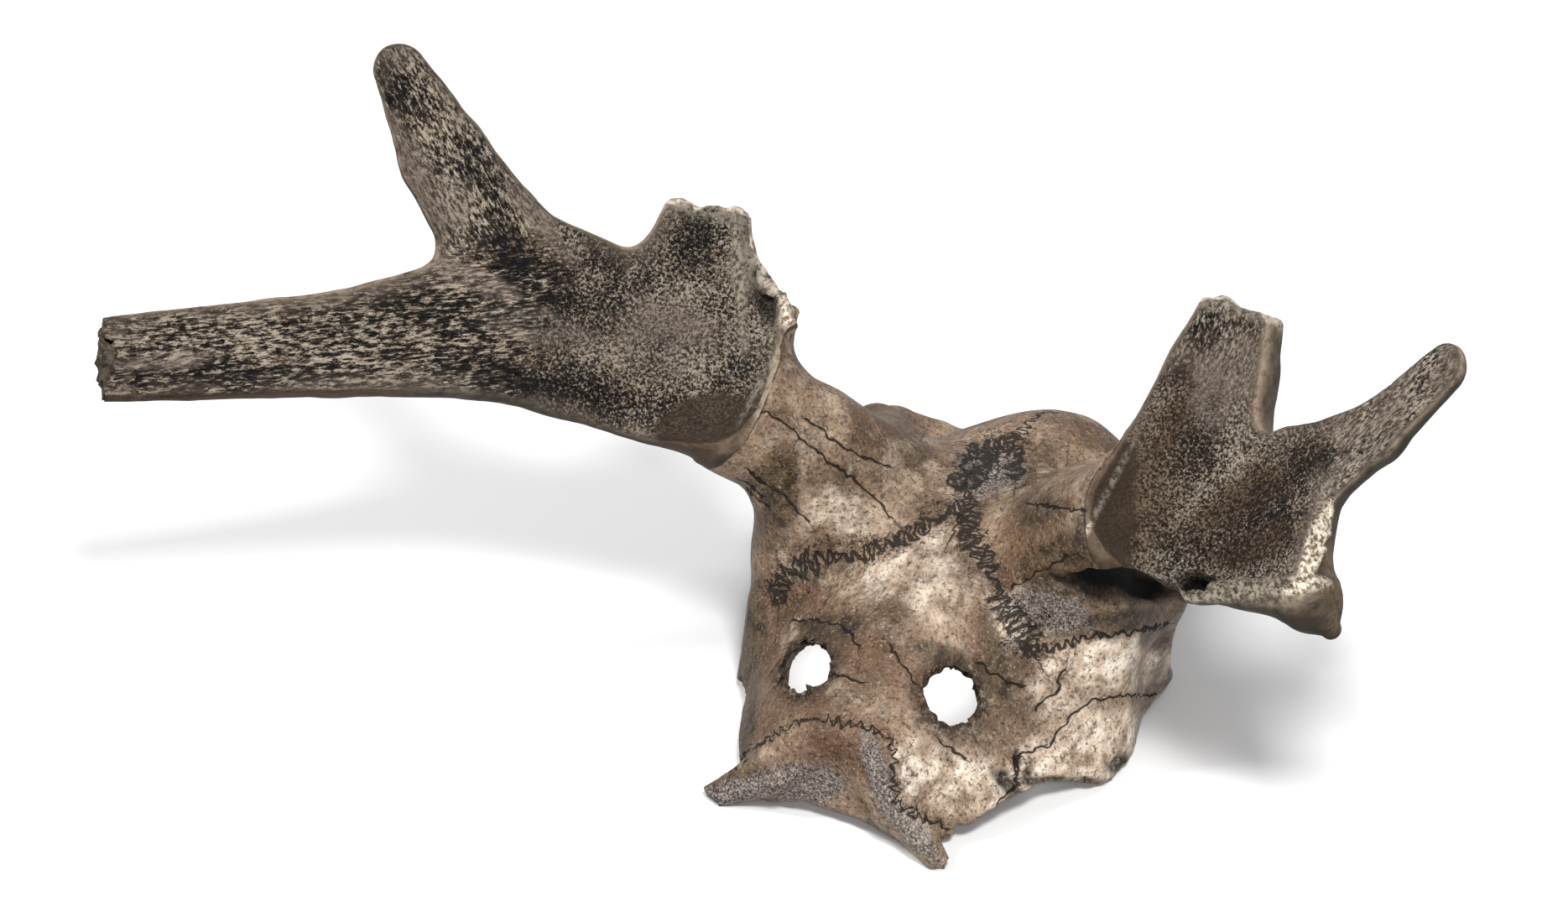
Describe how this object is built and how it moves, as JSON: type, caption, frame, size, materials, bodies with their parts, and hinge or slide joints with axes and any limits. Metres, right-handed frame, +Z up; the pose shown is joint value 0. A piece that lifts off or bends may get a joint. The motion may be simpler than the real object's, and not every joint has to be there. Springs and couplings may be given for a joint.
{
  "type": "red deer frontlet",
  "caption": "Worked red deer skull cap with two bored holes, both pedicles and two lengthwise split antlers with broken tines.",
  "frame": {"origin": "middle of the bounding box on the ground that the cap's rim rests on", "axes": "+X to the animal's right, +Y to its nose, +Z up"},
  "size_m": [0.3338, 0.17, 0.1547],
  "materials": {
    "skull_bone": "polished brown bone",
    "antler": "porous grey-brown antler"
  },
  "bodies": {
    "root": {"frontal_left": "skull_bone", "frontal_right": "skull_bone", "parietal": "skull_bone", "occipital": "skull_bone", "temporal_left": "skull_bone", "temporal_right": "skull_bone", "antler_left_base": "antler", "antler_left_beam": "antler", "antler_left_bez_tine": "antler", "antler_left_brow_stub": "antler", "antler_right_base": "antler", "antler_right_bez_tine": "antler", "antler_right_brow_tine": "antler"}
  },
  "joints": []
}
